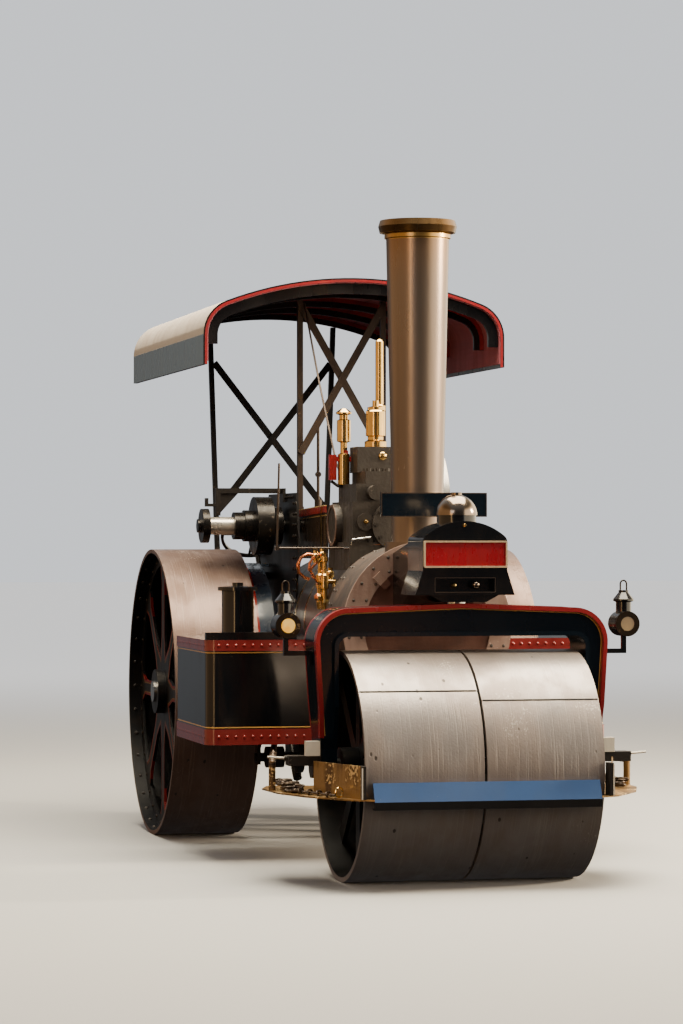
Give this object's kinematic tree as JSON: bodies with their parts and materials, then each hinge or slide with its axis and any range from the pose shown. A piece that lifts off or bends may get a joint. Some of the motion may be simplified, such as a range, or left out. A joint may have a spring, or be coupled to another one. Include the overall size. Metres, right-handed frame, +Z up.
{
  "type": "steam road roller",
  "caption": "Steam road roller with twin front rolls in a chain-steered yoke, riveted boiler and belly tank, tall chimney, open crank motion, broad rear wheels and a curved canopy",
  "frame": {"origin": "on the ground under the middle of the roller's length and width", "axes": "+Y to the rear, +X to the driver's left, +Z up"},
  "size_m": [2.25, 5.7042, 3.47],
  "materials": {
    "black_paint": "oiled black coach paint with red and gold lining",
    "brass": "polished brass",
    "brown_paint": "lined brown sheet",
    "canopy_wood": "cream painted boards, dark beneath",
    "chain_iron": "greasy chain",
    "chimney_iron": "weathered brown iron",
    "dark_iron": "oily dark iron",
    "lamp_glass": "lamp lens",
    "polished_steel": "bright polished steel",
    "red_paint": "bright red gloss paint",
    "roll_steel": "worn bare steel with nicks",
    "rusty_iron": "heat-rusted iron",
    "tender_paint": "lined black sheet",
    "wheel_steel": "worn pinkish brown steel",
    "yoke_black": "black paint with a red flange edge"
  },
  "bodies": {
    "chassis": {"perch_bracket": "black_paint", "name_plate": "red_paint", "kingpin_cap": "polished_steel", "smokebox": "rusty_iron", "chimney": "chimney_iron", "number_board": "black_paint", "boiler_barrel": "dark_iron", "firebox": "dark_iron", "firehole_hinge": "dark_iron", "hornplates": "black_paint", "crank_bearings": "dark_iron", "crosshead": "polished_steel", "slide_bars": "polished_steel", "cylinder_block": "dark_iron", "brass_fittings": "brass", "motion_sheets": "brown_paint", "belly_tank": "black_paint", "tank_saddles": "dark_iron", "tank_canister": "dark_iron", "gear_guard": "black_paint", "rear_axle": "polished_steel", "tender": "tender_paint", "footplate": "dark_iron", "drawbar": "dark_iron", "canopy_roof": "canopy_wood", "canopy_front_frame": "dark_iron", "canopy_rear_frame": "black_paint", "steering_barrel": "dark_iron", "barrel_hangers": "dark_iron", "crank_bracket": "dark_iron", "steering_column": "dark_iron", "boiler_fittings": "brass", "control_rods": "polished_steel"},
    "yoke": {"yoke": "yoke_black", "kingpin": "polished_steel", "front_axle": "dark_iron", "scraper_bar": "black_paint", "chain_trays": "rusty_iron", "tray_packings": "dark_iron", "lamps": "black_paint", "lamp_lenses": "lamp_glass"},
    "roll_right": {"roll_right": "roll_steel"},
    "roll_left": {"roll_left": "roll_steel"},
    "wheel_right": {"wheel_right": "wheel_steel", "final_gear": "dark_iron"},
    "wheel_left": {"wheel_left": "wheel_steel"},
    "crank": {"crankshaft": "dark_iron", "flywheel": "black_paint"},
    "connecting_rod": {"connecting_rod": "polished_steel"},
    "steering_chain_right": {"steering_chain_right": "chain_iron"},
    "steering_chain_left": {"steering_chain_left": "chain_iron"},
    "fire_door": {"firehole_door": "dark_iron"}
  },
  "joints": [
    {"name": "steer", "type": "hinge", "parent": "chassis", "child": "yoke", "pos_m": [0, -2.19815, 0.591], "axis": [0, 0, 1], "range_deg": [-15, 15]},
    {"name": "roll_right", "type": "hinge", "parent": "yoke", "child": "roll_right", "pos_m": [0, -2.19815, 0.591], "axis": [1, 0, 0], "continuous": true},
    {"name": "roll_left", "type": "hinge", "parent": "yoke", "child": "roll_left", "pos_m": [0, -2.19815, 0.591], "axis": [1, 0, 0], "continuous": true},
    {"name": "wheel_right", "type": "hinge", "parent": "chassis", "child": "wheel_right", "pos_m": [0, 0.82185, 0.846], "axis": [1, 0, 0], "continuous": true},
    {"name": "wheel_left", "type": "hinge", "parent": "chassis", "child": "wheel_left", "pos_m": [0, 0.82185, 0.846], "axis": [1, 0, 0], "continuous": true},
    {"name": "crank", "type": "hinge", "parent": "chassis", "child": "crank", "pos_m": [0, 0.35185, 1.83], "axis": [1, 0, 0], "continuous": true},
    {"name": "rod_swing", "type": "hinge", "parent": "crank", "child": "connecting_rod", "pos_m": [0, 0.25185, 1.83], "axis": [1, 0, 0], "continuous": true},
    {"name": "chain_right_swing", "type": "hinge", "parent": "yoke", "child": "steering_chain_right", "pos_m": [-0.949, -2.09815, 0.6], "axis": [0, 0, 1], "range_deg": [-15, 15]},
    {"name": "chain_left_swing", "type": "hinge", "parent": "yoke", "child": "steering_chain_left", "pos_m": [0.949, -2.09815, 0.6], "axis": [0, 0, 1], "range_deg": [-15, 15]},
    {"name": "fire_door", "type": "hinge", "parent": "chassis", "child": "fire_door", "pos_m": [0.19, 0.77785, 1.23], "axis": [0, 0, -1], "range_deg": [0, 100]}
  ],
  "couplings": [
    {"joint": "rod_swing", "follows": "crank", "ratio": -1},
    {"joint": "chain_right_swing", "follows": "steer", "ratio": -1},
    {"joint": "chain_left_swing", "follows": "steer", "ratio": -1}
  ]
}
